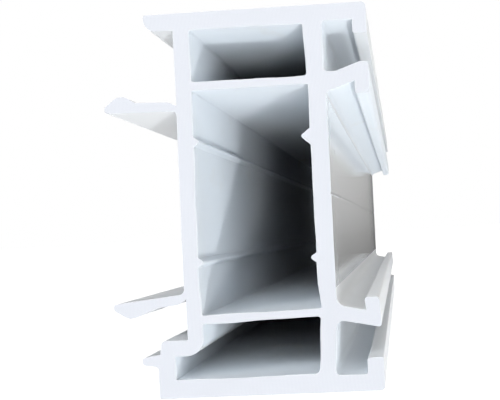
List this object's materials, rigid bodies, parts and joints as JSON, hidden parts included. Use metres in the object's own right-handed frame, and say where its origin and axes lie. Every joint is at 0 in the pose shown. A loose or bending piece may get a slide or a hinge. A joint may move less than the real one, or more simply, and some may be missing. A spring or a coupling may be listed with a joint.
{
  "type": "window extension profile",
  "caption": "Hollow-chamber white plastic extrusion that widens a window frame: clip legs on one side, a hooked channel on the other.",
  "frame": {"origin": "centre of the profile's bounding box at the level of its lower visible face, on which it stands", "axes": "+Y runs along the extrusion, away from the end seen first in the picture; +X points out of the hooked channel, -X along the clip legs; +Z runs from the lower to the upper visible face"},
  "size_m": [0.0486, 0.45, 0.07],
  "materials": {
    "extension_profile": "smooth white extruded surface with a soft sheen, ends sawn matt"
  },
  "bodies": {
    "root": {"extension_profile": "extension_profile"}
  },
  "joints": []
}
